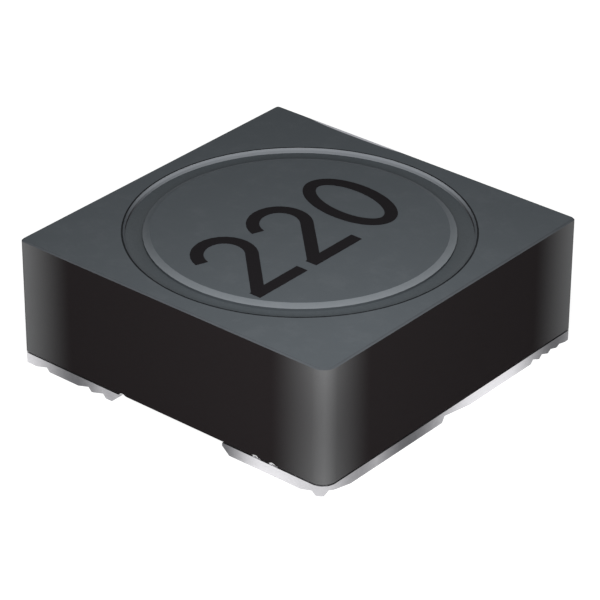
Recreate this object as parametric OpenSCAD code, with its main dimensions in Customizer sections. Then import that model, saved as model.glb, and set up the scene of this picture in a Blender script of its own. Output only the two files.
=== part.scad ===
// Shielded surface-mount power inductor.
// A ferrite drum with a round-wire coil stands in the bore of a square ferrite
// shield. A moulded base closes the bore from below, and two tinned copper
// terminals under the shield take the coil's ends. All sizes in millimetres.
// Origin: centre of the footprint, on the solder plane. Terminals lie at +X and -X.

/* [Shield] */
// Side of the square body
body_w = 12.3; // [12:0.1:13]
// Height of the shield ring
shield_h = 4.05; // [3.6:0.05:6]
// Thinnest wall between the bore and a side
wall_t = 0.7; // [0.5:0.05:0.8]
// Radius of the upright corners
corner_r = 0.15; // [0.15:0.05:0.5]
// Radius of the one rounder corner, at +X -Y, by which the part is turned the right way
key_corner_r = 0.5; // [0.3:0.05:1]
// Bevel on the rims of the shield
rim_bevel = 0.06; // [0.03:0.01:0.12]

/* [Drum core] */
// Width of the ring-shaped gap between the drum and the shield
gap_w = 0.55; // [0.4:0.05:0.65]
// Depth of the coil's window, from the rim of the flanges in to the post
window_w = 2.55; // [2.5:0.05:2.8]
// Thickness of the upper flange
top_flange_t = 0.67; // [0.6:0.01:0.8]
// Thickness of the lower flange
low_flange_t = 0.65; // [0.5:0.05:0.9]
// How far the drum stands proud of the shield
drum_proud = 0.02; // [0:0.01:0.05]
// Width of the bevel round the drum's top face
top_bevel_w = 0.22; // [0.1:0.02:0.3]
// Drop of the bevel round the drum's top face
top_bevel_h = 0.1; // [0.05:0.01:0.12]
// Small bevel on the other edges of the flanges
flange_bevel = 0.08; // [0.04:0.02:0.12]
// Fillet where the post runs into the flanges
post_fillet = 0.15; // [0.05:0.05:0.25]
// Free room round a lead in the lower flange
notch_clear = 0.4; // [0.3:0.05:0.5]

/* [Coil] */
// Diameter of the enamelled wire
wire_d = 0.68; // [0.6:0.02:0.72]
// Gap between neighbouring turns, and between coil and core
turn_gap = 0.02; // [0.01:0.01:0.04]
// Distance of a lead outside the centre line of the outer layer
lead_out = 0.19; // [0.1:0.01:0.25]
// Bend radius of the leads, at the centre line
lead_bend_r = 0.6; // [0.5:0.05:0.7]
// Angle in which the wire climbs by a row or moves out by a layer
step_a = 60; // [50:1:61]
// Height of a lead's cut end above the solder plane
lead_tip_z = 0.05; // [0.02:0.01:0.1]

/* [Base] */
// Thickness of the base inside the bore
base_t = 0.5; // [0.4:0.05:0.7]
// Gap between the base and the shield's bore
base_gap = 0.15; // [0.1:0.05:0.3]
// Distance of the rib's ends inside the sides of the body
rib_inset = 0.65; // [0.5:0.05:1.5]
// Depth of the rib below the shield
rib_h = 0.25; // [0.15:0.01:0.3]
// Gap between the rib and a terminal
rib_gap = 0.06; // [0.04:0.01:0.15]
// Free room round a lead in the base and in the terminals
hole_clear = 0.15; // [0.1:0.01:0.2]

/* [Terminals] */
// Thickness of the terminal sheet
terminal_t = 0.35; // [0.32:0.01:0.5]
// Width of a terminal, from the side of the body inwards
terminal_w = 4.02; // [3.8:0.02:4.4]
// Run of the slope on a terminal's inner edge
slope_w = 0.28; // [0.1:0.02:0.4]
// Upright part of the inner edge above the slope
lip_h = 0.1; // [0.05:0.01:0.15]
// Width of the nick in the outer edge
nick_w = 1.3; // [0.5:0.05:1.5]
// Height of the nick at its steep end
nick_h = 0.2; // [0.1:0.02:0.26]
// Distance of the nick's steep end from the middle of the outer edge
nick_at = 0.42; // [0:0.02:1]

/* [Wear] */
// Run of the steep end of a nick or a bite
bite_steep = 0.12; // [0.06:0.02:0.2]
// Depth of a nick or a bite into the terminal
bite_d = 0.35; // [0.2:0.05:0.5]
// Width of the bites in the front edges
bite_w = 0.45; // [0.3:0.05:0.5]
// Height of the bites in the front edges
bite_h = 0.13; // [0.06:0.01:0.2]
// Steep ends of the bites in the front edge of the left terminal, from the body's side
left_bites_at = [0.95, 2.75, 3.37];
// Distance of the bite in the front edge of the right terminal from the body's side
right_bite_at = 0.5; // [0.4:0.05:1]
// Distance of the bite beside the rounder corner from the front, in the outer edge
corner_bite_at = 0.25; // [0.2:0.05:1]
// Width of that bite
corner_bite_w = 0.95; // [0.5:0.05:1.2]
// First of the bites at the rear of the right terminal's outer edge, from its middle
rear_bites_at = 4.15; // [3.8:0.05:4.2]
// Distance from one of these bites to the next
rear_bite_step = 0.47; // [0.42:0.01:0.5]
// Width of these bites
rear_bite_w = 0.3; // [0.15:0.05:0.3]
// Heights of these bites, as parts of the height of the front ones
rear_bite_shares = [1, 0.83, 0.67, 0.5];
// Radius of the chips in the lower front edge of the shield
chip_r = 0.16; // [0.1:0.02:0.2]
// Height of the chips
chip_h = 0.08; // [0.04:0.01:0.09]
// Places of the chips along the front, from the middle
chips_at = [-1.95, 3.45, 4.11];

/* [Bonding] */
// Thickness of the adhesive bed under the drum
bed_t = 0.05; // [0.03:0.01:0.1]
// Distance of the adhesive bed from the lead notches
bed_gap = 0.11; // [0.05:0.01:0.5]
// Depth of the top adhesive's surface below the shield
fill_depth = 0.21; // [0.1:0.01:0.3]
// Rise of the top adhesive along both walls
fill_climb = 0.05; // [0.02:0.01:0.08]
// Thickness of the top adhesive at its thinnest
fill_t = 0.36; // [0.2:0.02:0.45]
// Height of the adhesive seam round the base
seam_h = 0.3; // [0.1:0.05:0.4]
// Height of the solder fillet above a terminal
solder_climb = 0.22; // [0.1:0.02:0.3]
// Width of the solder fillet on a terminal's upper face
solder_w = 0.075; // [0.03:0.005:0.1]
// Height of the solder fillet where it starts on the terminal
solder_rise = 0.07; // [0.02:0.01:0.09]
// Depth of the dish in the solder's lower face
solder_dish = 0.03; // [0.01:0.01:0.05]

/* [Hidden] */
$fn = 96;
// Overshoot of a cut past the face that it opens
cut = 0.1;
// Sides of the swept wire
wire_sides = 10;
// Turning angle between two rings of the swept wire
ring_a = 12;
// Rings in each bend of a lead
bend_rings = 6;

body_r = body_w / 2;
bore_r = body_r - wall_t;
flange_r = bore_r - gap_w;
post_r = flange_r - window_w;
wire_r = wire_d / 2;

// Levels from the solder plane upwards
shield_z = terminal_t;
shield_top_z = shield_z + shield_h;
drum_z = terminal_t + base_t + bed_t;
drum_top_z = shield_top_z + drum_proud;
window_z = drum_z + low_flange_t;
window_top_z = drum_top_z - top_flange_t;
window_h = window_top_z - window_z;
fill_z = shield_top_z - fill_depth;

// The coil: rows of turns that fit the window, and the radius of each layer
pitch_r = wire_d + turn_gap;
layer_r = [for (i = [0:2]) post_r + turn_gap + wire_r + i * pitch_r];
// A climbing wire lies aslant, so a row takes more height than the wire's diameter.
// In the middle of its smooth rise it climbs step_peak times as fast as on average.
step_peak = 1.5;
climb_slope = step_peak * wire_d / (layer_r[0] * step_a * PI / 180);
row_h = wire_d * sqrt(1 + climb_slope * climb_slope);
row_room = window_h - wire_d - 2 * turn_gap;
rows = max(2, 1 + floor(row_room / row_h));
pitch_z = row_room / (rows - 1);
row_z = window_z + turn_gap + wire_r;
lead_x = layer_r[2] + lead_out;
lead_hole_r = wire_r + hole_clear;
notch_r = wire_r + notch_clear;

// Inner edge of a terminal
terminal_x = body_r - terminal_w;

// Where the straight leads touch the inner and the outer layer
in_a = acos(layer_r[0] / lead_x);
out_a = 360 * (2 * rows - 1) + 180 - acos(layer_r[2] / lead_x);

function unit(v) = v / norm(v);
function sum(v, i = 0) = i < len(v) ? v[i] + sum(v, i + 1) : 0;
// 0 before the angle a0, 1 after a0 + step_a, and a smooth rise between them
function step(a, a0) = let (u = min(1, max(0, (a - a0) / step_a))) u * u * (3 - 2 * u);

// Row of the wire at the winding angle a. The first layer climbs one row a turn.
// The second comes down as far as the row above the lead that leaves the first
// layer, and the third drops to the flange once it has passed that lead.
function row_at(a) =
    sum([for (k = [0:rows - 2]) step(a, 360 * k + 360 - step_a)])
    - sum([for (k = [0:1:rows - 3]) step(a, 360 * (rows + k) + 360 - 3 * step_a)])
    - step(a, 360 * (2 * rows - 1) + in_a);
// Radius of the wire at the winding angle a. Each move outwards comes one step
// ahead of the move below it, so that no two turns meet while they change place.
function radius_at(a) =
    layer_r[0] + pitch_r * (step(a, 360 * (rows - 1) + 360 - 2 * step_a)
                            + step(a, 360 * (2 * rows - 2) + 360 - 4 * step_a));
function coil_point(a) = [radius_at(a) * cos(a), radius_at(a) * sin(a), row_z + pitch_z * row_at(a)];

// A lead: up from its cut end at x = side * lead_x, and round a quarter bend into
// the horizontal direction dir
function lead_points(side, dir) = concat(
    [[side * lead_x, 0, lead_tip_z]],
    [for (i = [0:bend_rings])
        let (b = 90 * i / bend_rings)
        [side * lead_x, 0, row_z - lead_bend_r]
        + lead_bend_r * (1 - cos(b)) * dir + lead_bend_r * sin(b) * [0, 0, 1]]);

function reversed(v) = [for (i = [len(v) - 1:-1:0]) v[i]];

coil_path = let (
    first = coil_point(in_a),
    last = coil_point(out_a),
    lead_in = lead_points(1, unit([first[0] - lead_x, first[1], 0])),
    lead_out_points = lead_points(-1, unit([last[0] + lead_x, last[1], 0])),
    steps = ceil((out_a - in_a) / ring_a)
) concat(
    lead_in,
    [for (i = [0:steps]) coil_point(in_a + (out_a - in_a) * i / steps)],
    reversed(lead_out_points));

// Directions along a path, and normals carried along it without twist
function tangents(p) = [for (i = [0:len(p) - 1])
    unit(p[min(i + 1, len(p) - 1)] - p[max(i - 1, 0)])];
function carried(n, t) = unit(n - (n * t) * t);
function normals(t, n0) = [for (i = 0, n = carried(n0, t[0]); i < len(t);
    i = i + 1, n = i < len(t) ? carried(n, t[i]) : n) n];

module swept_wire(path, r, sides) {
    t = tangents(path);
    n = normals(t, [0, 1, 0]);
    rings = len(path);
    points = [for (i = [0:rings - 1], j = [0:sides - 1])
        let (a = 360 * j / sides)
        path[i] + r * (cos(a) * n[i] + sin(a) * cross(t[i], n[i]))];
    walls = [for (i = [0:rings - 2], j = [0:sides - 1])
        let (k = (j + 1) % sides, a = i * sides, b = a + sides)
        each [[a + j, b + j, b + k], [a + j, b + k, a + k]]];
    caps = [[for (j = [0:sides - 1]) j],
            [for (j = [sides - 1:-1:0]) (rings - 1) * sides + j]];
    polyhedron(points, concat(walls, caps), convexity = 12);
}

// Outline of the body, seen from above
module body_outline() {
    inner = body_w - 2 * corner_r;
    square([inner, body_w], center = true);
    square([body_w, inner], center = true);
    for (x = [-1, 1], y = [-1, 1])
        translate([x, y] * inner / 2) circle(corner_r);
}

// What has to go at +X -Y so that a block of height h with bevel c gets its rounder corner
module key_corner_cut(h, c) {
    r = key_corner_r;
    translate([body_r - r, r - body_r, 0]) difference() {
        translate([0, -r - cut, -cut]) cube([r + cut, r + cut, h + 2 * cut]);
        rotate_extrude() polygon([[0, -cut], [r - c - cut, -cut], [r, c], [r, h - c],
                                  [r - c - cut, h + cut], [0, h + cut]]);
    }
}

// Square block with upright round corners and bevelled rims
module bevelled_block(w, h, r, c) {
    side = [[-w / 2 + c, 0], [w / 2 - c, 0], [w / 2, c], [w / 2, h - c],
            [w / 2 - c, h], [-w / 2 + c, h], [-w / 2, h - c], [-w / 2, c]];
    for (a = [0, 90])
        rotate([0, 0, a]) translate([-(w / 2 - r), 0, 0]) rotate([90, 0, 90])
            linear_extrude(w - 2 * r) polygon(side);
    for (x = [-1, 1], y = [-1, 1])
        translate([x * (w / 2 - r), y * (w / 2 - r), 0]) rotate_extrude()
            polygon([[0, 0], [r - c, 0], [r, c], [r, h - c], [r - c, h], [0, h]]);
}

// Bore of radius r through a height h, with bevelled mouths
module bevelled_bore(r, h, c) {
    rotate_extrude()
        polygon([[0, -cut], [r + c + cut, -cut], [r, c], [r, h - c], [r + c + cut, h + cut], [0, h + cut]]);
}

module shield_ring() {
    color("dimgray") translate([0, 0, shield_z]) difference() {
        bevelled_block(body_w, shield_h, corner_r, rim_bevel);
        bevelled_bore(bore_r, shield_h, rim_bevel);
        key_corner_cut(shield_h, rim_bevel);
        for (x = chips_at) translate([x, -body_r, chip_h - chip_r]) sphere(chip_r);
    }
}

// U-shaped notches in the lower flange, one for each lead
module lead_notches() {
    for (side = [-1, 1])
        translate([side * lead_x, 0, drum_z - cut]) {
            cylinder(r = notch_r, h = low_flange_t + 2 * cut);
            translate([side > 0 ? 0 : -flange_r, -notch_r, 0])
                cube([flange_r, 2 * notch_r, low_flange_t + 2 * cut]);
        }
}

module drum_core() {
    f = post_fillet;
    color("slategray") difference() {
        rotate_extrude() polygon([
            [0, drum_z],
            [flange_r - flange_bevel, drum_z], [flange_r, drum_z + flange_bevel],
            [flange_r, window_z - flange_bevel], [flange_r - flange_bevel, window_z],
            for (a = [270:-15:180]) [post_r + f * (1 + cos(a)), window_z + f * (1 + sin(a))],
            for (a = [180:-15:90]) [post_r + f * (1 + cos(a)), window_top_z - f * (1 - sin(a))],
            [flange_r - flange_bevel, window_top_z], [flange_r, window_top_z + flange_bevel],
            [flange_r, drum_top_z - top_bevel_h], [flange_r - top_bevel_w, drum_top_z],
            [0, drum_top_z]]);
        lead_notches();
    }
}

module winding() {
    color("peru") swept_wire(coil_path, wire_r, wire_sides);
}

module base_plate() {
    rib_w = 2 * (terminal_x - rib_gap);
    rib_l = body_w - 2 * rib_inset;
    color([0.13, 0.13, 0.14]) difference() {
        union() {
            translate([0, 0, terminal_t]) cylinder(r = bore_r - base_gap, h = base_t);
            translate([-rib_w / 2, -rib_l / 2, terminal_t - rib_h]) cube([rib_w, rib_l, rib_h]);
        }
        for (side = [-1, 1])
            translate([side * lead_x, 0, terminal_t - cut])
                cylinder(r = lead_hole_r, h = base_t + 2 * cut);
    }
}

// A bite in the lower edge of a terminal, at the origin in the edge along +Y of a
// face that looks towards +X: steep at its start, and running out over the width w
module bite(w, h) {
    translate([-bite_d, 0, 0]) rotate([90, 0, 90]) linear_extrude(bite_d + cut)
        polygon([[-bite_steep, -cut], [w, -cut], [w, 0], [0, h], [-bite_steep, 0]]);
}

// A terminal at +X before its wear. Its plan is the body's outline, so it ends flush
// with the shield on three sides, and its inner edge slopes in below a short lip.
module terminal() {
    difference() {
        intersection() {
            linear_extrude(terminal_t) body_outline();
            translate([0, body_r + cut, 0]) rotate([90, 0, 0]) linear_extrude(body_w + 2 * cut)
                polygon([[terminal_x + slope_w, 0], [body_r + cut, 0], [body_r + cut, terminal_t],
                         [terminal_x, terminal_t], [terminal_x, terminal_t - lip_h]]);
        }
        translate([lead_x, 0, -cut]) cylinder(r = lead_hole_r, h = terminal_t + 2 * cut);
        translate([body_r, -nick_at, 0]) bite(nick_w, nick_h);
    }
}

module terminal_right() {
    color("silver") difference() {
        terminal();
        key_corner_cut(terminal_t, 0);
        translate([body_r - right_bite_at, -body_r, 0]) rotate([0, 0, -90]) mirror([0, 1, 0]) bite(bite_w, bite_h);
        translate([body_r, corner_bite_at - body_r, 0]) bite(corner_bite_w, nick_h);
        for (i = [0:len(rear_bite_shares) - 1])
            translate([body_r, rear_bites_at + i * rear_bite_step, 0])
                bite(rear_bite_w, bite_h * rear_bite_shares[i]);
    }
}

module terminal_left() {
    color("silver") difference() {
        rotate([0, 0, 180]) terminal();
        for (x = left_bites_at)
            translate([x - body_r, -body_r, 0]) rotate([0, 0, -90]) mirror([0, 1, 0]) bite(bite_w, bite_h);
    }
}

// Solder round the wire end at +X: it fills the terminal's hole and climbs the wire
module solder_joint() {
    translate([lead_x, 0, 0]) rotate_extrude() polygon([
        [wire_r, lead_tip_z], [lead_hole_r, lead_tip_z - solder_dish], [lead_hole_r, terminal_t],
        [wire_r + solder_w, terminal_t + solder_rise],
        [wire_r, terminal_t + solder_climb]]);
}

module solder_joint_right() {
    color("gainsboro") solder_joint();
}

module solder_joint_left() {
    color("gainsboro") rotate([0, 0, 180]) solder_joint();
}

// Adhesive that fills the gap between the upper flange and the shield, with a
// hollow surface that climbs both walls
module top_adhesive() {
    mid_r = (flange_r + bore_r) / 2;
    half_w = (bore_r - flange_r) / 2;
    color([0.22, 0.24, 0.25]) rotate_extrude() polygon([
        [flange_r, fill_z - fill_t], [bore_r, fill_z - fill_t],
        for (u = [1:-0.25:-1]) [mid_r + half_w * u, fill_z + fill_climb * u * u]]);
}

// Bed of adhesive between the base and the drum
module drum_adhesive() {
    color([0.35, 0.3, 0.2]) translate([0, 0, drum_z - bed_t]) cylinder(r = lead_x - notch_r - bed_gap, h = bed_t);
}

// Seam of adhesive between the base and the shield's bore
module base_adhesive() {
    color([0.35, 0.3, 0.2]) translate([0, 0, terminal_t + rim_bevel]) difference() {
        cylinder(r = bore_r, h = seam_h);
        translate([0, 0, -cut]) cylinder(r = bore_r - base_gap, h = seam_h + 2 * cut);
    }
}

drum_core();
shield_ring();
winding();
base_plate();
terminal_left();
terminal_right();
solder_joint_left();
solder_joint_right();
top_adhesive();
drum_adhesive();
base_adhesive();
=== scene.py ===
# %% [markdown]
# # A shielded inductor, dressed in Blender
# The part is a square ring of sintered ferrite with a ferrite drum in its bore, on two
# tinned copper feet. The construction comes ready made from the frame, and this lesson
# gives it its finish: ground ferrite, epoxy, dipped tin, solder and ink, with light and shade painted into
# the ferrite and the tin.
# Everything is drawn in metres, so sizes below are written in millimetres times MM.

# %% Load the frame and keep its box
import math

import bpy
from mathutils import Matrix, Vector


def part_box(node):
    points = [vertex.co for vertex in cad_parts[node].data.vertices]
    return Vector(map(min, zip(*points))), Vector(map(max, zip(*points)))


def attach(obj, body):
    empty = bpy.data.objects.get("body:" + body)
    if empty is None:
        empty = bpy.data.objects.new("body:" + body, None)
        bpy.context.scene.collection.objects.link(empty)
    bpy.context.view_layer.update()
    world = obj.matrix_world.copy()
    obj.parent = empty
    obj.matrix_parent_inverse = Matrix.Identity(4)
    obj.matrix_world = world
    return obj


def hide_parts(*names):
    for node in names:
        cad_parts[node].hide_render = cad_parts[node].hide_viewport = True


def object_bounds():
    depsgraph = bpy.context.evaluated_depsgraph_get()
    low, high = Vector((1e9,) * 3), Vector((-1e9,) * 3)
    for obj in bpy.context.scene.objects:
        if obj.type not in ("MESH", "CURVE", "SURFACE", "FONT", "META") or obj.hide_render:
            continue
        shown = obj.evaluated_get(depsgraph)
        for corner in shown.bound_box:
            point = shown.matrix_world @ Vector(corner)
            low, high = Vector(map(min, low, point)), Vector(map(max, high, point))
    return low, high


MM = 0.001
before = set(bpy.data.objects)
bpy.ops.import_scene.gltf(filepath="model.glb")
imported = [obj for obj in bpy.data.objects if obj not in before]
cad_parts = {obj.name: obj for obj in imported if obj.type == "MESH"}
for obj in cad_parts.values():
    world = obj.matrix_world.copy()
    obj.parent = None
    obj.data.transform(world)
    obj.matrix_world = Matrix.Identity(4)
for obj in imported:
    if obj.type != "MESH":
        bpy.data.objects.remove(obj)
cad_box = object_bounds()
shield_low, shield_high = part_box("shield_ring")
drum_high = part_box("drum_core")[1]
fill_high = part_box("top_adhesive")[1]
half = shield_high.x / MM
bore_r = fill_high.x / MM
print("body", round(2 * half, 3), "mm wide, bore radius", round(bore_r, 3), "mm, top at",
      round(shield_high.z / MM, 3), "mm")

# %% [markdown]
# ## Tools for node trees
# A material is a small program. Writing one by hand means adding nodes and linking
# sockets many times over, so short helpers keep the recipes readable: `put` adds a node
# and fills or links its inputs, `calc` is one sum and `times` a product, `vector` is one
# sum of vectors, and `fade` and `span` turn a value into a mask or a range.

# %% Helpers for nodes
def put(tree, kind, inputs=None, **settings):
    """Adds a node. An input is a number, a colour or another node's output."""
    made = tree.nodes.new(kind)
    for name, value in settings.items():
        setattr(made, name, value)
    for name, value in (inputs or {}).items():
        if isinstance(value, bpy.types.NodeSocket):
            tree.links.new(value, made.inputs[name])
        else:
            made.inputs[name].default_value = value
    return made


def calc(tree, operation, *values, clamp=False):
    """One Math node; returns its output."""
    made = put(tree, "ShaderNodeMath", dict(enumerate(values)), operation=operation, use_clamp=clamp)
    return made.outputs[0]


def times(tree, first, *others):
    """The product of masks and numbers."""
    for other in others:
        first = calc(tree, "MULTIPLY", first, other)
    return first


def fade(tree, value, start, end):
    """0 where value is at start, 1 where it is at end, and a smooth change between."""
    made = put(tree, "ShaderNodeMapRange", {"Value": value, "From Min": start, "From Max": end},
               interpolation_type="SMOOTHSTEP")
    return made.outputs["Result"]


def span(tree, value, low, high):
    """Spreads a value that runs from 0 to 1 over low to high."""
    return put(tree, "ShaderNodeMapRange", {"Value": value, "To Min": low, "To Max": high}).outputs[0]


def vector(tree, operation, first, second):
    """One Vector Math node; returns the node, as it has a vector and a number to give."""
    return put(tree, "ShaderNodeVectorMath", {0: first, 1: second}, operation=operation)


print("node helpers ready")

# %% [markdown]
# ### Colours
# A colour is written here as it reads on a screen, from 0 to 255, because that is easy
# to judge by eye. Shaders work in linear light, so `colour` turns it into that, and
# `blend` mixes two colours by a mask.

# %% Helpers for colours
def blend(tree, factor, first, second):
    """Mixes two colours; factor 0 gives the first."""
    made = put(tree, "ShaderNodeMix", data_type="RGBA")
    for socket, value in zip((made.inputs[0], made.inputs[6], made.inputs[7]), (factor, first, second)):
        if isinstance(value, bpy.types.NodeSocket):
            tree.links.new(value, socket)
        else:
            socket.default_value = value
    return made.outputs[2]


def colour(r, g, b):
    """A screen colour, 0 to 255, in linear light."""
    def linear(v):
        v /= 255
        return v / 12.92 if v <= 0.04045 else ((v + 0.055) / 1.055) ** 2.4
    return (linear(r), linear(g), linear(b), 1)


print("colour helpers ready; a mid grey is", [round(v, 3) for v in colour(128, 128, 128)])

# %% [markdown]
# ## Shared effects as node groups
# Several materials need the same thing: the fine grain of a sintered or moulded body,
# rubbed edges, a little dust. Each effect is built once as a group with named inputs,
# and each material places it with its own values. The groups only put out masks and
# heights; the shader itself stays in the material.

# %% A maker of groups
def group(name, inputs, outputs):
    """A new shader group. inputs and outputs give a socket type for each name."""
    tree = bpy.data.node_groups.new(name, "ShaderNodeTree")
    for side, sockets in (("INPUT", inputs), ("OUTPUT", outputs)):
        for label, kind in sockets.items():
            tree.interface.new_socket(label, in_out=side, socket_type="NodeSocket" + kind)
    return tree, tree.nodes.new("NodeGroupInput").outputs, tree.nodes.new("NodeGroupOutput").inputs


def use(tree, shared, **inputs):
    """Places a group in a material. Underscores in the names stand for spaces."""
    made = put(tree, "ShaderNodeGroup", node_tree=shared)
    for label, value in inputs.items():
        socket = made.inputs[label.replace("_", " ")]
        if isinstance(value, bpy.types.NodeSocket):
            tree.links.new(value, socket)
        else:
            socket.default_value = value
    return made.outputs


print("group maker ready")

# %% [markdown]
# ### Grain
# Pressed and fired powder is never one flat colour. Fine noise gives the crystallites,
# a broad noise the slow change in tone from the kiln, and the cells of a Voronoi
# texture, used only at their centres, the pores.

# %% Build the grain
grain, given, out = group(
    "grain",
    {"Position": "Vector", "Grain size": "Float", "Pore size": "Float"},
    {"Tone": "Float", "Height": "Float"})
fine = put(grain, "ShaderNodeTexNoise",
           {"Vector": given["Position"], "Scale": calc(grain, "DIVIDE", 1.0, given["Grain size"]),
            "Detail": 3.0, "Roughness": 0.65})
broad = put(grain, "ShaderNodeTexNoise", {"Vector": given["Position"], "Scale": 0.35, "Detail": 2.0})
cells = put(grain, "ShaderNodeTexVoronoi",
            {"Vector": given["Position"], "Scale": calc(grain, "DIVIDE", 0.2, given["Pore size"])})
pores = fade(grain, cells.outputs["Distance"], 0.16, 0.06)
grain.links.new(calc(grain, "ADD", calc(grain, "MULTIPLY", fine.outputs["Fac"], 0.6),
                     calc(grain, "MULTIPLY", broad.outputs["Fac"], 0.4)), out["Tone"])
grain.links.new(calc(grain, "SUBTRACT", fine.outputs["Fac"], pores), out["Height"])
print("grain:", len(grain.nodes), "nodes")

# %% [markdown]
# ### Rubbed edges
# Parts are tumbled and fed through tracks, so their edges are rubbed a little lighter.
# The material hands in the distance to the nearest edge; the group turns it into a
# band of the wanted width and breaks the band up with noise.

# %% Build the rubbed edge
rubbed, given, out = group(
    "rubbed_edge",
    {"Position": "Vector", "Distance": "Float", "Width": "Float"},
    {"Mask": "Float"})
uneven = put(rubbed, "ShaderNodeTexNoise", {"Vector": given["Position"], "Scale": 2.2, "Detail": 5.0})
reach = calc(rubbed, "MULTIPLY", given["Width"], calc(rubbed, "MULTIPLY", uneven.outputs["Fac"], 2.0))
rubbed.links.new(calc(rubbed, "SUBTRACT", 1.0, calc(rubbed, "DIVIDE", given["Distance"], reach), clamp=True),
                 out["Mask"])
print("rubbed edge:", len(rubbed.nodes), "nodes")

# %% [markdown]
# ### Dust
# Faces that look up catch dust. The group uses the upward part of the surface's
# direction and a broken noise, so vertical faces stay clean.

# %% Build the dust
dust, given, out = group(
    "dust",
    {"Position": "Vector", "Up": "Float", "Amount": "Float"},
    {"Mask": "Float"})
motes = put(dust, "ShaderNodeTexNoise",
            {"Vector": given["Position"], "Scale": 1.3, "Detail": 8.0, "Roughness": 0.7})
patchy = fade(dust, motes.outputs["Fac"], 0.45, 0.75)
dust.links.new(calc(dust, "MULTIPLY", times(dust, patchy, given["Amount"]),
                    calc(dust, "MAXIMUM", given["Up"], 0.0), clamp=True), out["Mask"])
print("dust:", len(dust.nodes), "nodes")

# %% [markdown]
# ### A soft patch
# Some spots of the tin are painted grey as darker reflection, and the painted highlight at
# one corner is dimmed. Both are soft spots round a known point of the part, so one group
# serves them: full strength at the centre, and nothing beyond its reach.

# %% Build the soft patch
patch, given, out = group(
    "soft_patch",
    {"Position": "Vector", "Centre": "Vector", "Reach": "Float"},
    {"Mask": "Float"})
away = vector(patch, "DISTANCE", given["Position"], given["Centre"]).outputs["Value"]
patch.links.new(fade(patch, calc(patch, "DIVIDE", away, given["Reach"]), 1.0, 0.0), out["Mask"])
print("soft patch:", len(patch.nodes), "nodes")

# %% [markdown]
# ## The start of every material
# Each recipe begins the same way: a Principled shader, the position on the part in
# millimetres, and the three parts of the surface's direction. Object coordinates keep
# the pattern fixed to the part, whatever view it is seen from.

# %% The start of a material
def material(name, **constants):
    """A new material, its tree and shader, the position in millimetres and the way the surface faces."""
    made = bpy.data.materials.new(name)
    made.use_nodes = True
    tree = made.node_tree
    shader = tree.nodes["Principled BSDF"]
    for label, value in constants.items():
        shader.inputs[label.replace("_", " ")].default_value = value
    place = put(tree, "ShaderNodeTexCoord").outputs["Object"]
    position = put(tree, "ShaderNodeVectorMath", {0: place, "Scale": 1 / MM}, operation="SCALE").outputs[0]
    normal = put(tree, "ShaderNodeNewGeometry").outputs["True Normal"]
    facing = put(tree, "ShaderNodeSeparateXYZ", {0: normal}).outputs
    return made, tree, shader, position, facing


def split(tree, position):
    """The x, y and z of a position, and its distance from the axis of the bore."""
    parts = put(tree, "ShaderNodeSeparateXYZ", {0: position}).outputs
    radius = calc(tree, "SQRT", calc(tree, "ADD", calc(tree, "POWER", parts[0], 2.0),
                                     calc(tree, "POWER", parts[1], 2.0)))
    return parts[0], parts[1], parts[2], radius


def roughen(tree, shader, height, depth):
    """Feeds a height, worth depth millimetres, into the shader's normal."""
    bump = put(tree, "ShaderNodeBump", {"Height": height, "Distance": depth * MM, "Strength": 1.0})
    tree.links.new(bump.outputs[0], shader.inputs["Normal"])


print("material maker ready")

# %% [markdown]
# ## The shield's ferrite
# The ring is one pressing. Its top is ground, which leaves an even slate grey. Its sides are
# painted near-black, the shade of faces that the lamps barely reach, and a painted highlight
# grows towards each upright corner. The bore's wall and its bevelled mouth carry a painted
# highlight that is strongest on one side, so they are the palest faces of the ring. The recipe
# finds each zone from where a point lies and which way it faces.

# %% Zones of the shield
GROUND_GREY = colour(84, 89, 93)
# Painted shade: the near-black of the sides, which the lamps barely reach.
SHADE_BLACK = colour(41, 37, 38)
# Painted highlight on the sides towards the upright corners.
CORNER_HIGHLIGHT_GREY = colour(135, 136, 137)
BARE_GREY = colour(205, 206, 212)
# Painted highlight on the bore's wall and mouth.
BORE_HIGHLIGHT_GREY = colour(141, 145, 150)
# Painted shade: a thin dark line round the bore's mouth.
RIM_SHADE_DARK = colour(31, 33, 35)
PRESSED_GREY = colour(78, 82, 86)
FERRITE_SHINE = 0.02  # fired and ground ferrite hardly mirrors its surroundings
RIM_BEVEL = 0.06  # mm
CORNER_HIGHLIGHT_REACH = 2.1  # mm along a side over which the painted corner highlight fades out
REAR = (-0.64, 0.77, 0)  # the side on which the bore's painted highlight is strongest
SOFT = 0.02  # mm over which one zone fades into the next
SLACK = 0.01  # mm by which a wall may lie outside its radius

shield_mat, tree, shader, position, facing = material("ferrite_shield", Specular_IOR_Level=FERRITE_SHINE)
x, y, _, radius = split(tree, position)
out_x, out_y = calc(tree, "ABSOLUTE", x), calc(tree, "ABSOLUTE", y)
from_side = calc(tree, "SUBTRACT", half, calc(tree, "MAXIMUM", out_x, out_y))
from_corner = calc(tree, "SUBTRACT", half, calc(tree, "MINIMUM", out_x, out_y))
upward = fade(tree, facing[2], 0.2, 0.6)  # 0 on the sides, 1 on the top and its bevels
level = fade(tree, facing[2], 0.85, 0.95)  # 1 on the flat top, 0 on every bevel
sloped = fade(tree, facing[2], 0.95, 0.85)  # the reverse
in_bore = fade(tree, radius, bore_r + SLACK + SOFT, bore_r + SLACK)
mouth_r = bore_r + RIM_BEVEL
to_rear = vector(tree, "DOT_PRODUCT", position, REAR).outputs["Value"]
bore_lit = fade(tree, calc(tree, "DIVIDE", to_rear, bore_r), 0.05, 0.65)
on_mouth = times(tree, fade(tree, radius, mouth_r + SLACK + SOFT, mouth_r + SLACK), sloped)
bore_highlight = times(tree, calc(tree, "MAXIMUM", in_bore, on_mouth), bore_lit)
print("ring, top to bottom:", round((shield_high.z - shield_low.z) / MM, 3), "mm")

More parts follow.
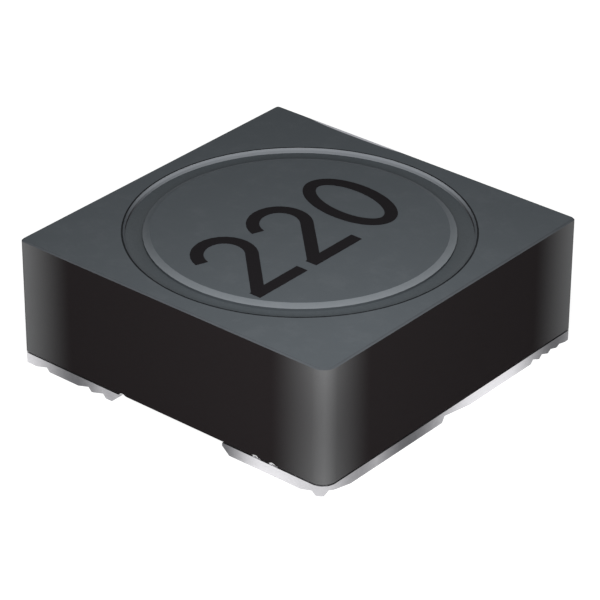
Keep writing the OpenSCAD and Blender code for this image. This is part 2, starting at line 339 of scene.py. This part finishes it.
# %% [markdown]
# ### What both pieces of ferrite share
# The ring and the drum end alike: a trace of dust on what looks up, a tone that varies
# a little with the powder, and a satin surface with hardly any relief. One helper does
# this for both, so they can't drift apart.

# %% The end of a ferrite recipe
DUST_AMOUNT = 0.02
FERRITE_TONES = (0.91, 1.09)  # how unevenly the powder fired
FERRITE_SATIN = (0.6, 0.85)  # roughness
FERRITE_RELIEF = 0.002  # mm


def finish_ferrite(tree, shader, skin, speckle, position, facing):
    """The end of both ferrite recipes: a little dust, an uneven tone, a satin skin and its relief."""
    dusty = use(tree, dust, Position=position, Up=facing[2], Amount=DUST_AMOUNT)["Mask"]
    skin = blend(tree, dusty, skin, BARE_GREY)
    toned = span(tree, speckle["Tone"], *FERRITE_TONES)
    skin = put(tree, "ShaderNodeVectorMath", {0: skin, "Scale": toned}, operation="SCALE").outputs[0]
    tree.links.new(skin, shader.inputs["Base Color"])
    tree.links.new(span(tree, speckle["Tone"], *FERRITE_SATIN), shader.inputs["Roughness"])
    roughen(tree, shader, speckle["Height"], FERRITE_RELIEF)


print("ferrite finish ready")

# %% [markdown]
# ### Wear and painted light on the shield
# Wear and painted light go on over the zones. At the rounder corner, which is nearest the
# front lamp, the painted highlight is dimmed more than at the three sharp ones. One edge of
# the top has a pale crescent, and a thin dark line painted on the flat top all round the bore
# is the shade at the edge of that recess. The narrow bevel round the outside was pressed, not
# ground, so it stays darker, and the small chips in the lower front edge are white, as
# residue from the tinning can leave them.

# %% Make the shield's material
KEY_CORNER = (half, -half, (shield_low.z + shield_high.z) / 2 / MM)
# How far the painted corner highlight is dimmed at the key corner, nearest the front lamp.
KEY_HIGHLIGHT_DIMMING = 0.42
KEY_REACH = 4.5  # mm round the middle of that corner
CORNER_HIGHLIGHT_CURVE = 1.5  # above 1, the painted highlight gathers at the corner
EDGE_W = 0.05  # mm
EDGE_WEAR = 0.04
PALE_CRESCENT_MIDDLE = -2.75  # mm along the rear edge
PALE_CRESCENT_REACH = 2.3  # mm either way
PALE_CRESCENT_DEPTH = 0.18  # mm in from the side
PALE_CRESCENT_FADE = (-0.01, 0.03)  # mm, from just outside the crescent to inside it
RIM_SHADE_W = 0.05  # mm
CHIPS_AT = (-1.95, 3.45, 4.11)  # mm along the front edge
CHIP_R = 0.16  # mm
CHIP_FADE = (CHIP_R + 1.5 * SOFT, CHIP_R + SOFT)
CHIP_PALE = colour(250, 250, 250)
CHIP_Z = shield_low.z / MM - CHIP_R / 2

speckle = use(tree, grain, Position=position, Grain_size=0.05, Pore_size=0.05)
# Painted highlight: the sides grow lighter towards each upright corner, less at the key corner.
corner_highlight = put(tree, "ShaderNodeMapRange",
           {"Value": from_corner, "From Min": CORNER_HIGHLIGHT_REACH, "From Max": 0.0}).outputs[0]
corner_highlight = calc(tree, "POWER", corner_highlight, CORNER_HIGHLIGHT_CURVE)
dimmed_at_key = use(tree, patch, Position=position, Centre=KEY_CORNER, Reach=KEY_REACH)["Mask"]
corner_highlight = times(tree, corner_highlight, calc(tree, "SUBTRACT", 1.0, times(tree, dimmed_at_key, KEY_HIGHLIGHT_DIMMING)))
# The sides take the painted shade and the corner highlight; the top and its bevels take the ground grey.
skin = blend(tree, upward, blend(tree, corner_highlight, SHADE_BLACK, CORNER_HIGHLIGHT_GREY), GROUND_GREY)
skin = blend(tree, times(tree, upward, sloped), skin, PRESSED_GREY)
edge = use(tree, rubbed, Position=position, Distance=from_side, Width=EDGE_W)["Mask"]
skin = blend(tree, times(tree, edge, upward, EDGE_WEAR), skin, BARE_GREY)
# Painted shade: a dark line on the flat top round the bore's mouth, the shade at the edge of the recess.
rim_shade_r = mouth_r + RIM_SHADE_W
rim_shade = times(tree, fade(tree, radius, rim_shade_r + SOFT / 2, rim_shade_r), level)
skin = blend(tree, rim_shade, skin, RIM_SHADE_DARK)
# Painted highlight on the bore's wall and its mouth, strongest towards one side.
skin = blend(tree, bore_highlight, skin, BORE_HIGHLIGHT_GREY)
offset = calc(tree, "DIVIDE", calc(tree, "SUBTRACT", x, PALE_CRESCENT_MIDDLE), PALE_CRESCENT_REACH)
crescent = calc(tree, "SUBTRACT", 1.0, calc(tree, "POWER", calc(tree, "ABSOLUTE", offset), 3.0))
into = calc(tree, "SUBTRACT", times(tree, crescent, PALE_CRESCENT_DEPTH), calc(tree, "SUBTRACT", half, y))
skin = blend(tree, times(tree, fade(tree, into, *PALE_CRESCENT_FADE), upward), skin, BARE_GREY)
for chip_x in CHIPS_AT:
    away = vector(tree, "DISTANCE", position, (chip_x, -half, CHIP_Z)).outputs["Value"]
    skin = blend(tree, fade(tree, away, *CHIP_FADE), skin, CHIP_PALE)
finish_ferrite(tree, shader, skin, speckle, position, facing)
print("shield material:", len(tree.nodes), "nodes")

# %% [markdown]
# ## The drum's ferrite
# The drum is turned from the same powder. Its top is ground like the ring's, and the rims of
# the flanges are ground to size, so only the coil's window, a recess, takes the near-black of
# painted shade. The bevel round the top carries a painted highlight, pale on one side and
# fading into the top's grey on the other.

# %% Make the drum's material
# Painted highlight on the top bevel.
BEVEL_HIGHLIGHT_GREY = colour(114, 119, 123)
RIM_GREY = colour(76, 81, 85)
BEVEL_LIT_SIDE = (0.82, -0.57, 0)  # the side on which the bevel's painted highlight is strongest
BEVEL_EDGE_W = 0.2  # mm
BEVEL_WEAR = 0.05
flange_r = drum_high.x / MM

drum_mat, tree, shader, position, facing = material("ferrite_drum", Specular_IOR_Level=FERRITE_SHINE)
radius = split(tree, position)[3]
speckle = use(tree, grain, Position=position, Grain_size=0.05, Pore_size=0.045)
is_top = fade(tree, facing[2], 0.95, 0.98)
is_bevel = times(tree, fade(tree, facing[2], 0.4, 0.6), fade(tree, facing[2], 0.98, 0.95))
# The coil's window, a recess, takes the same near-black of painted shade.
skin = blend(tree, fade(tree, radius, flange_r - 2 * SOFT, flange_r - SOFT), SHADE_BLACK, RIM_GREY)
skin = blend(tree, is_top, skin, GROUND_GREY)
# Painted highlight on the bevel, strongest on one side.
towards = vector(tree, "DOT_PRODUCT", position, BEVEL_LIT_SIDE).outputs["Value"]
bevel_lit = fade(tree, calc(tree, "DIVIDE", towards, flange_r), -0.6, 0.6)
skin = blend(tree, is_bevel, skin, blend(tree, bevel_lit, GROUND_GREY, BEVEL_HIGHLIGHT_GREY))
inwards = calc(tree, "SUBTRACT", flange_r, radius)
edge = use(tree, rubbed, Position=position, Distance=inwards, Width=BEVEL_EDGE_W)["Mask"]
skin = blend(tree, times(tree, edge, is_bevel, BEVEL_WEAR), skin, BARE_GREY)
finish_ferrite(tree, shader, skin, speckle, position, facing)
print("drum material:", len(tree.nodes), "nodes")

# %% [markdown]
# ## Epoxy
# The gap round the drum is filled with grey epoxy. It is smooth, a little glossy, and
# holds fine filler and a few tiny bubbles. The two bonds inside are the same stuff
# without the grey, a cloudy amber.

# %% Make the two epoxies
def epoxy(name, dark, pale):
    """Cured epoxy between two tones, with the filler's grain."""
    made, tree, shader, position, _ = material(name, Specular_IOR_Level=0.05)
    filler = use(tree, grain, Position=position, Grain_size=0.12, Pore_size=0.06)
    tree.links.new(blend(tree, filler["Tone"], dark, pale), shader.inputs["Base Color"])
    tree.links.new(span(tree, filler["Tone"], 0.35, 0.6), shader.inputs["Roughness"])
    roughen(tree, shader, filler["Height"], 0.004)
    return made


fill_mat = epoxy("epoxy_grey", colour(60, 65, 68), colour(81, 86, 90))
bond_mat = epoxy("epoxy_amber", colour(120, 92, 48), colour(176, 142, 84))
print("epoxies:", fill_mat.name, bond_mat.name)

# %% [markdown]
# ## Moulded base
# The base is a liquid-crystal plastic, black and matt, with the fine flow lines that
# the mould leaves in it.

# %% Make the base's material
BASE_DARK, BASE_PALE = colour(24, 24, 26), colour(58, 58, 61)
FLOW_STRETCH = (0.4, 3.0, 3.0)  # the plastic ran along X, so its lines are long that way
base_mat, tree, shader, position, _ = material("moulded_base", Specular_IOR_Level=0.3)
pellet = use(tree, grain, Position=position, Grain_size=0.09, Pore_size=0.03)
stretched = vector(tree, "MULTIPLY", position, FLOW_STRETCH).outputs[0]
flow = put(tree, "ShaderNodeTexNoise",
           {"Vector": stretched, "Scale": 1.2, "Detail": 3.0, "Distortion": 1.5}).outputs["Fac"]
mixed = calc(tree, "ADD", times(tree, pellet["Tone"], 0.5), times(tree, flow, 0.5))
tree.links.new(blend(tree, mixed, BASE_DARK, BASE_PALE), shader.inputs["Base Color"])
tree.links.new(span(tree, flow, 0.45, 0.65), shader.inputs["Roughness"])
roughen(tree, shader, pellet["Height"], 0.004)
print("base material:", len(tree.nodes), "nodes")

# %% [markdown]
# ## Dipped tin
# The feet are copper sheet dipped in tin. The bright metal is one colour, and a soft grey
# patch is laid at places along the outer edges of the two feet as painted reflection, the
# darker parts of what the tin mirrors. The patches are kept off the undersides.

# %% Make the tin
BRIGHT_TIN = colour(216, 215, 218)
# The grey of the spots of painted reflection.
REFLECTION_GREY_TIN = colour(94, 94, 97)
REFLECTION_SPOT_Z = 0.2  # mm, halfway up a foot
TIN_UNEVEN = 0.08


def tin(name, painted_reflection_spots):
    """Dipped tin. painted_reflection_spots is a list of (x, y, reach, strength) in millimetres, each a grey
    spot of painted reflection.
    """
    made, tree, shader, position, facing = material(name, Metallic=1.0)
    crystal = use(tree, grain, Position=position, Grain_size=0.15, Pore_size=0.03)
    # Spots of painted reflection along the outer edges, kept off the undersides, plus the tin's own grain.
    painted_reflection_and_grain = None
    for spot_x, spot_y, spot_reach, strength in painted_reflection_spots:
        centre = (spot_x, spot_y, REFLECTION_SPOT_Z)
        spot = use(tree, patch, Position=position, Centre=centre, Reach=spot_reach)["Mask"]
        spot = times(tree, spot, strength)
        painted_reflection_and_grain = spot if painted_reflection_and_grain is None else calc(tree, "MAXIMUM", painted_reflection_and_grain, spot)
    painted_reflection_and_grain = times(tree, painted_reflection_and_grain, fade(tree, facing[2], -0.95, -0.5))
    painted_reflection_and_grain = calc(tree, "ADD", painted_reflection_and_grain, span(tree, crystal["Tone"], -TIN_UNEVEN, TIN_UNEVEN), clamp=True)
    tree.links.new(blend(tree, painted_reflection_and_grain, BRIGHT_TIN, REFLECTION_GREY_TIN), shader.inputs["Base Color"])
    tree.links.new(span(tree, painted_reflection_and_grain, 0.28, 0.5), shader.inputs["Roughness"])
    roughen(tree, shader, crystal["Height"], 0.006)
    return made


tin_left = tin("tin_left", [(-4.0, -half, 2.5, 0.95), (-2.5, -half, 1.6, 0.55), (-half, 0.5, 3.0, 0.8),
                            (-4.0, half, 2.4, 0.7)])
tin_right = tin("tin_right", [(2.0, -half, 1.8, 1.0), (half, -2.2, 3.6, 1.0), (half, -4.5, 2.6, 0.75),
                              (half, -half, 2.2, 0.3), (half, 5.3, 2.8, 1.0), (3.2, half, 2.2, 0.7)])
print("tin:", tin_left.name, tin_right.name)

# %% [markdown]
# ## Solder, enamelled wire and ink
# The solder is brighter and smoother than the tin. The wire is copper under a clear
# amber enamel, stripped and tinned where it stands in the solder. The ink is a thin
# matt black that lets a little of the ferrite's grain through.

# %% Make solder, wire and ink
SOLDER_DARK, SOLDER_PALE = colour(190, 190, 194), colour(232, 232, 234)
COPPER_DARK, COPPER_PALE = colour(150, 78, 38), colour(196, 112, 62)
TINNED_GREY = colour(206, 206, 210)
INK_DARK, INK_PALE = colour(20, 18, 20), colour(33, 31, 33)
STRIPPED_TO = 0.75  # mm above the board
STRIP_FADE = 0.05  # mm either way

solder_mat, tree, shader, position, _ = material("solder", Metallic=1.0)
ripple = use(tree, grain, Position=position, Grain_size=0.1, Pore_size=0.02)
tree.links.new(blend(tree, ripple["Tone"], SOLDER_DARK, SOLDER_PALE), shader.inputs["Base Color"])
tree.links.new(span(tree, ripple["Tone"], 0.18, 0.36), shader.inputs["Roughness"])
roughen(tree, shader, ripple["Height"], 0.005)

wire_mat, tree, shader, position, _ = material("enamelled_wire", Metallic=1.0, Coat_Roughness=0.08)
height = split(tree, position)[2]
drawn = use(tree, grain, Position=position, Grain_size=0.2, Pore_size=0.02)
enamelled = fade(tree, height, STRIPPED_TO - STRIP_FADE, STRIPPED_TO + STRIP_FADE)
copper = blend(tree, drawn["Tone"], COPPER_DARK, COPPER_PALE)
tree.links.new(blend(tree, enamelled, TINNED_GREY, copper), shader.inputs["Base Color"])
tree.links.new(enamelled, shader.inputs["Coat Weight"])
tree.links.new(span(tree, drawn["Tone"], 0.2, 0.4), shader.inputs["Roughness"])

ink_mat, tree, shader, position, _ = material("ink", Specular_IOR_Level=FERRITE_SHINE)
laid = use(tree, grain, Position=position, Grain_size=0.06, Pore_size=0.03)
tree.links.new(blend(tree, laid["Tone"], INK_DARK, INK_PALE), shader.inputs["Base Color"])
tree.links.new(span(tree, laid["Tone"], *FERRITE_SATIN), shader.inputs["Roughness"])
roughen(tree, shader, laid["Height"], FERRITE_RELIEF)
print("solder, wire and ink ready")

# %% [markdown]
# ## Dress the pieces that stay as built
# The shield, the base, the feet, the solder and the epoxy already have their true
# shape, so they only take a material.

# %% Hand out the materials
def dress(node, made):
    """Gives a built piece its one material."""
    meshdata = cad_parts[node].data
    meshdata.materials.clear()
    meshdata.materials.append(made)


finishes = {"shield_ring": shield_mat, "base_plate": base_mat, "top_adhesive": fill_mat,
            "drum_adhesive": bond_mat, "base_adhesive": bond_mat, "solder_joint_left": solder_mat,
            "solder_joint_right": solder_mat, "terminal_left": tin_left, "terminal_right": tin_right}
for node, made in finishes.items():
    dress(node, made)
print("dressed", len(finishes), "of", len(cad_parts), "nodes; the drum and the wire follow")

# %% [markdown]
# ## The drum, a hair lower
# The ink needs room below the highest plane of the part. A copy of the drum takes the
# place of the built one, with its flat top lowered by the thickness of the ink.

# %% Make the drum that carries the ink
INK_T = 0.012 * MM


def piece(name, meshdata, made, stands_for=()):
    """A finished piece on the part's one body."""
    obj = bpy.data.objects.new(name, meshdata)
    bpy.context.scene.collection.objects.link(obj)
    meshdata.materials.clear()
    meshdata.materials.append(made)
    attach(obj, "root")
    if stands_for:
        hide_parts(*stands_for)
    return obj


drum_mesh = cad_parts["drum_core"].data.copy()
drum_mesh.name = "drum"
for vertex in drum_mesh.vertices:
    if vertex.co.z > drum_high.z - INK_T / 2:
        vertex.co.z -= INK_T
drum = piece("drum", drum_mesh, drum_mat, ["drum_core"])
print("drum top now at", round((drum_high.z - INK_T) / MM, 3), "mm")

# %% [markdown]
# ## Shapes that follow a path
# The coil's wire and the strokes of the printed number are both a profile carried
# along a path. Geometry Nodes do that: each tree takes a path, has named inputs for
# its sizes, and is baked to a plain mesh before the piece is handed over.

# %% Tools for geometry trees
def geometry_tree(name, inputs):
    """A Geometry Nodes tree: a path in, a mesh out, and a named number input for each size."""
    tree = bpy.data.node_groups.new(name, "GeometryNodeTree")
    tree.interface.new_socket("Geometry", in_out="INPUT", socket_type="NodeSocketGeometry")
    for label, value in inputs.items():
        socket = tree.interface.new_socket(label, in_out="INPUT", socket_type="NodeSocketFloat")
        socket.default_value = value
    tree.interface.new_socket("Geometry", in_out="OUTPUT", socket_type="NodeSocketGeometry")
    return tree, tree.nodes.new("NodeGroupInput").outputs, tree.nodes.new("NodeGroupOutput").inputs


def finish_tree(tree, geometry, out, made):
    """Every tree ends alike: instances become real, and the material is set."""
    real = put(tree, "GeometryNodeRealizeInstances", {0: geometry}).outputs[0]
    tree.links.new(put(tree, "GeometryNodeSetMaterial", {"Geometry": real, "Material": made}).outputs[0],
                   out["Geometry"])


def grown(name, paths, tree, sizes, closed=False):
    """Draws paths as a curve, runs a tree on it with the given sizes, and returns the plain mesh."""
    curve = bpy.data.curves.new(name, "CURVE")
    curve.dimensions = "3D"
    for path in paths:
        spline = curve.splines.new("POLY")
        spline.points.add(len(path) - 1)
        for point, place in zip(spline.points, path):
            point.co = (*place, 1)
        spline.use_cyclic_u = closed
    obj = bpy.data.objects.new(name, curve)
    bpy.context.scene.collection.objects.link(obj)
    modifier = obj.modifiers.new("grow", "NODES")
    modifier.node_group = tree
    for item in tree.interface.items_tree:
        if item.in_out == "INPUT" and item.name in sizes:
            modifier[item.identifier] = sizes[item.name]
    meshdata = bpy.data.meshes.new_from_object(obj.evaluated_get(bpy.context.evaluated_depsgraph_get()))
    bpy.data.objects.remove(obj)
    bpy.data.curves.remove(curve)
    return meshdata


print("geometry tools ready")

# %% [markdown]
# ## The coil
# The wire is wound round the drum's post in three layers. The first climbs a row in
# each turn and the second comes down a row. The third, of about one turn, drops to the
# lowest row once it has passed the first lead. Both ends leave at right angles to the
# board, one at +X and one at -X.

# %% Sizes of the coil, in millimetres
WIRE_D = 0.68
TURN_GAP = 0.02
POST_R = 2.35
ROWS = 3
LAYERS = 3
ROW_PITCH = 0.74
FIRST_ROW = 1.91  # height of the lowest row
LEAD_OUT = 0.19  # how far a lead stands outside the outer layer
LEAD_BEND = 0.6  # radius of the bend in a lead
BEND_STEP = 10  # degrees from point to point of that bend
LEAD_TIP = 0.05  # height of the cut end
MOVE = 60  # degrees in which the wire climbs a row or moves out a layer
TURN_STEP = 6  # degrees from point to point of a turn

layers = [POST_R + TURN_GAP + WIRE_D / 2 + i * (WIRE_D + TURN_GAP) for i in range(LAYERS)]
lead_x = layers[2] + LEAD_OUT
first_a = math.degrees(math.acos(layers[0] / lead_x))
last_a = 360 * (2 * ROWS - 1) + 180 - math.degrees(math.acos(layers[2] / lead_x))
print("layers at", [round(r, 3) for r in layers], "mm; wound through", round(last_a - first_a), "degrees")

# %% [markdown]
# ### The path of the wire
# A rule gives a point of the wire's centre line for every winding angle, so the coil
# stays one unbroken wire, where plain rings would not join up. The changes of row and of
# layer take turns, and each kind starts one move earlier in its turn than the kind before
# it, so that no two turns meet. Only the last drop waits for the first lead.

# %% Work out the path
def moved(a, start):
    """0 before the angle start, 1 one move later, and a smooth rise between."""
    u = min(1, max(0, (a - start) / MOVE))
    return u * u * (3 - 2 * u)


def coil_point(a):
    """The wire's centre line at a winding angle in degrees."""
    row = sum(moved(a, 360 * k - MOVE) for k in range(1, ROWS))
    row -= sum(moved(a, 360 * (ROWS + k) - 3 * MOVE) for k in range(1, ROWS - 1))
    row -= moved(a, 360 * (2 * ROWS - 1) + first_a)
    layer = moved(a, 360 * ROWS - 2 * MOVE) + moved(a, 360 * (2 * ROWS - 1) - 4 * MOVE)
    r = layers[0] + (WIRE_D + TURN_GAP) * layer
    return Vector((r * math.cos(math.radians(a)), r * math.sin(math.radians(a)), FIRST_ROW + ROW_PITCH * row))


def lead(side, first):
    """From the cut end straight up, then round a quarter bend towards the coil."""
    foot = Vector((side * lead_x, 0, LEAD_TIP))
    way = (first - Vector((side * lead_x, 0, first.z))).normalized()
    bend = [math.radians(a) for a in range(0, 91, BEND_STEP)]
    return [foot] + [Vector((foot.x, 0, FIRST_ROW - LEAD_BEND)) + LEAD_BEND * (1 - math.cos(b)) * way
                     + Vector((0, 0, LEAD_BEND * math.sin(b))) for b in bend]


steps = math.ceil((last_a - first_a) / TURN_STEP)
turns = [coil_point(first_a + (last_a - first_a) * i / steps) for i in range(steps + 1)]
coil = lead(1, turns[0]) + turns + lead(-1, turns[-1])[::-1]
length = sum((b - a).length for a, b in zip(coil, coil[1:]))
print("wire:", len(coil), "points,", round(length, 1), "mm long")

# %% [markdown]
# ### The wire itself
# A circle carried along the path gives the round wire, closed at both cut ends. Twenty
# sides with smooth shading look round at this size.

# %% Sweep the wire
WIRE_SIDES = 20
wire_tree, given, out = geometry_tree("round_wire", {"Diameter": WIRE_D * MM})
ring = put(wire_tree, "GeometryNodeCurvePrimitiveCircle",
           {"Resolution": WIRE_SIDES, "Radius": calc(wire_tree, "MULTIPLY", given["Diameter"], 0.5)})
swept = put(wire_tree, "GeometryNodeCurveToMesh",
            {"Curve": given["Geometry"], "Profile Curve": ring.outputs[0], "Fill Caps": True})
smooth = put(wire_tree, "GeometryNodeSetShadeSmooth", {"Geometry": swept.outputs[0]})
finish_tree(wire_tree, smooth.outputs[0], out, wire_mat)

coil_mesh = grown("coil", [[tuple(p * MM) for p in coil]], wire_tree, {"Diameter": WIRE_D * MM})
winding = piece("coil", coil_mesh, wire_mat, ["winding"])
print("coil:", len(coil_mesh.polygons), "faces")

# %% [markdown]
# ## The number
# Such a part carries a value code on its drum. A plain 220 takes that place here, in
# strokes of one width, as a stamp or a printer lays them down. Each digit is one or
# two paths, leaning a little to the right.

# %% Paths of the digits, in millimetres
DIGIT_H = 3.67
DIGIT_W = 2.2
DIGIT_PITCH = 2.62
STROKE_W = 0.42
LEAN = 5  # degrees
BOW = (170, -38)  # degrees at which the bow of a 2 starts and ends
RING_POINTS = 72  # on the loop of a 0
FOOT_IN = 0.06  # how far the slanting stroke of a 2 ends outside the line of its bow
NUMBER_FOOT_X = 1.92  # the digits stand on this line and read along +Y
NUMBER_START_Y = -4.13

inner_w, inner_h = DIGIT_W - STROKE_W, DIGIT_H - STROKE_W


def arc(centre_x, centre_y, radius_x, radius_y, start, end, steps=16):
    """Points on an ellipse, angles in degrees, x to the right and y up."""
    angles = [math.radians(start + (end - start) * i / steps) for i in range(steps + 1)]
    return [(centre_x + radius_x * math.cos(a), centre_y + radius_y * math.sin(a)) for a in angles]


def two():
    """The strokes of a 2: a bow that runs into the slant, and the foot."""
    bow = arc(inner_w / 2, inner_h - inner_w / 2, inner_w / 2, inner_w / 2, *BOW)
    return [bow + [(-FOOT_IN, 0)], [(-STROKE_W / 2, 0), (inner_w + STROKE_W / 2, 0)]], False


def nought():
    """The one closed stroke of a 0."""
    last = 360 - 360 // RING_POINTS
    return [arc(inner_w / 2, inner_h / 2, inner_w / 2, inner_h / 2, 0, last, RING_POINTS - 1)], True


print("a digit is", DIGIT_H, "by", DIGIT_W, "mm")

# %% [markdown]
# ### A strip swept along a path
# The strip's profile is as wide as the stroke and as thick as the ink. Where two strokes
# of a digit cross, a union melts them into one closed shape.

# %% Print the number on the drum
stroke_sizes = {"Width": STROKE_W * MM, "Thickness": INK_T}
stroke_tree, given, out = geometry_tree("ink_stroke", stroke_sizes)
strip = put(stroke_tree, "GeometryNodeCurvePrimitiveQuadrilateral",
            {"Width": given["Width"], "Height": given["Thickness"]})
swept = put(stroke_tree, "GeometryNodeCurveToMesh",
            {"Curve": given["Geometry"], "Profile Curve": strip.outputs[0], "Fill Caps": True})
melted = put(stroke_tree, "GeometryNodeMeshBoolean", {"Mesh 2": swept.outputs[0], "Self Intersection": True},
             operation="UNION", solver="EXACT")
flat = put(stroke_tree, "GeometryNodeSetShadeSmooth", {"Geometry": melted.outputs[0], "Shade Smooth": False})
finish_tree(stroke_tree, flat.outputs[0], out, ink_mat)

lean = math.tan(math.radians(LEAN))
middle_z = drum_high.z / MM - INK_T / MM / 2
for place, digit in enumerate((two, two, nought)):
    strokes, closed = digit()
    start_y = NUMBER_START_Y + place * DIGIT_PITCH + STROKE_W / 2
    laid = [[((NUMBER_FOOT_X - STROKE_W / 2 - up) * MM, (start_y + right + lean * up) * MM, middle_z * MM)
             for right, up in stroke] for stroke in strokes]
    meshdata = grown(f"digit_{place + 1}", laid, stroke_tree, stroke_sizes, closed)
    piece(f"digit_{place + 1}", meshdata, ink_mat)
    zs = [v.co.z / MM for v in meshdata.vertices]
    print("digit", place + 1, len(meshdata.polygons), "faces, z", round(min(zs), 4), "to", round(max(zs), 4))

# %% [markdown]
# ## Stage
# A white floor and a white surround, as in a light tent. Camera rays and reflections
# see both near full white, but most of the light that falls on the part comes from soft
# lamps. The floor lets a look from below through, so the feet can be seen from underneath.

# %% Floor and surround
FLOOR_SIZE = 600 * MM
FLOOR_GAP = 0.01 * MM
FLOOR_GREY = (0.35, 0.35, 0.35, 1)
FLOOR_GLOW = 0.9
bpy.ops.mesh.primitive_plane_add(size=FLOOR_SIZE, location=(0, 0, cad_box[0].z - FLOOR_GAP))
floor = bpy.context.object
floor.name = "floor"

floor_mat = bpy.data.materials.new("floor_white")
floor_mat.use_nodes = True
tree = floor_mat.node_tree
shader = tree.nodes["Principled BSDF"]
shader.inputs["Base Color"].default_value = FLOOR_GREY
shader.inputs["Roughness"].default_value = 0.9
shader.inputs["Specular IOR Level"].default_value = 0.0
rays = put(tree, "ShaderNodeLightPath").outputs


def seen_directly(tree, rays):
    """1 for camera rays, reflections and rays through glass."""
    return calc(tree, "MAXIMUM", rays["Is Camera Ray"],
                calc(tree, "MAXIMUM", rays["Is Glossy Ray"], rays["Is Transmission Ray"]))


glow = put(tree, "ShaderNodeEmission",
           {"Color": (1, 1, 1, 1), "Strength": calc(tree, "MULTIPLY", seen_directly(tree, rays), FLOOR_GLOW)})
both = put(tree, "ShaderNodeAddShader", {0: shader.outputs[0], 1: glow.outputs[0]})
through = put(tree, "ShaderNodeBsdfTransparent")
sides = put(tree, "ShaderNodeMixShader", {0: put(tree, "ShaderNodeNewGeometry").outputs["Backfacing"],
                                          1: both.outputs[0], 2: through.outputs[0]})
tree.links.new(sides.outputs[0], tree.nodes["Material Output"].inputs["Surface"])
floor.data.materials.append(floor_mat)

SURROUND_LIGHT = 0.2  # what the surround gives to matt surfaces
world = bpy.data.worlds.new("surround")
bpy.context.scene.world = world
world.use_nodes = True
tree = world.node_tree
rays = put(tree, "ShaderNodeLightPath").outputs
strength = span(tree, seen_directly(tree, rays), SURROUND_LIGHT, 1.0)
tree.links.new(strength, tree.nodes["Background"].inputs["Strength"])
tree.nodes["Background"].inputs["Color"].default_value = (1, 1, 1, 1)
print("floor at", round(floor.location.z / MM, 4), "mm")

# %% [markdown]
# ### Lamps
# The front lamp is low and lights the two sides that face the camera. The high lamp
# hangs close over the front corner, so the top grows darker towards the back. A weaker
# lamp behind keeps the far sides from going black in other views, and gives no glints,
# because seen from the front they would glare off the top.

# %% Place the lamps
FRONT_AZIMUTH, FRONT_ELEVATION = 38, 25
FRONT_DISTANCE = 50 * MM
FRONT_SIZE = 15 * MM
FRONT_POWER = 0.0165
HIGH_AZIMUTH = 52
HIGH_OUT = 8 * MM  # how far in front of the part's axis the high lamp hangs
HIGH_ABOVE = 14 * MM  # above the top of the part
HIGH_SIZE = 6 * MM
HIGH_POWER = 0.00105
REAR_AZIMUTH, REAR_ELEVATION = 220, 3
REAR_POWER = 0.012


def direction(azimuth, elevation):
    """From the part towards a place round it. Azimuth 0 is at -Y and 90 at +X, in degrees."""
    a, e = math.radians(azimuth), math.radians(elevation)
    return Vector((math.sin(a) * math.cos(e), -math.cos(a) * math.cos(e), math.sin(e)))


def lamp(name, place, shines, size, watts, glints=True):
    """A soft round lamp at a place, measured from the middle of the part's top."""
    data = bpy.data.lights.new(name, "AREA")
    data.shape, data.size, data.energy = "DISK", size, watts
    obj = bpy.data.objects.new(name, data)
    bpy.context.scene.collection.objects.link(obj)
    obj.location = Vector((0, 0, shield_high.z)) + place
    obj.rotation_mode = "QUATERNION"
    obj.rotation_quaternion = shines.to_track_quat("-Z", "Y")
    obj.visible_camera = False
    obj.visible_glossy = glints


way = direction(FRONT_AZIMUTH, FRONT_ELEVATION)
lamp("front_lamp", way * FRONT_DISTANCE, -way, FRONT_SIZE, FRONT_POWER)
lamp("high_lamp", direction(HIGH_AZIMUTH, 0) * HIGH_OUT + Vector((0, 0, HIGH_ABOVE)), Vector((0, 0, -1)),
     HIGH_SIZE, HIGH_POWER)
way = direction(REAR_AZIMUTH, REAR_ELEVATION)
lamp("rear_lamp", way * FRONT_DISTANCE, -way, FRONT_SIZE, REAR_POWER, glints=False)

# %% [markdown]
# ## Camera
# A long lens from the front corner, a little below thirty degrees, so the two sides
# and the top show together and the upright edges stay nearly parallel.

# %% Place the camera
VIEW_AZIMUTH, VIEW_ELEVATION, VIEW_ROLL = 39.95, 29.789, 0.219
VIEW_DISTANCE = 95.906 * MM
LENS, SENSOR = 184.933, 36
NEAREST, FARTHEST = 1 * MM, 10  # what the camera sees, in metres
ASIDE, ABOVE = 0.002 * MM, -2.236 * MM

back = direction(VIEW_AZIMUTH, VIEW_ELEVATION)
right = direction(VIEW_AZIMUTH + 90, 0)
upright = back.cross(right)
turn = math.radians(VIEW_ROLL)
right, upright = (right * math.cos(turn) + upright * math.sin(turn),
                  upright * math.cos(turn) - right * math.sin(turn))
camera_data = bpy.data.cameras.new("camera")
camera_data.lens = LENS
camera_data.sensor_width = SENSOR
camera_data.clip_start = NEAREST
camera_data.clip_end = FARTHEST
camera = bpy.data.objects.new("camera", camera_data)
bpy.context.scene.collection.objects.link(camera)
camera.location = Vector((0, 0, shield_high.z)) + back * VIEW_DISTANCE + right * ASIDE + upright * ABOVE
camera.rotation_mode = "QUATERNION"
camera.rotation_quaternion = Matrix((right, upright, back)).transposed().to_quaternion()
bpy.context.scene.camera = camera
bpy.context.scene.view_settings.view_transform = "Standard"
print("camera at", [round(v / MM, 2) for v in camera.location], "mm")
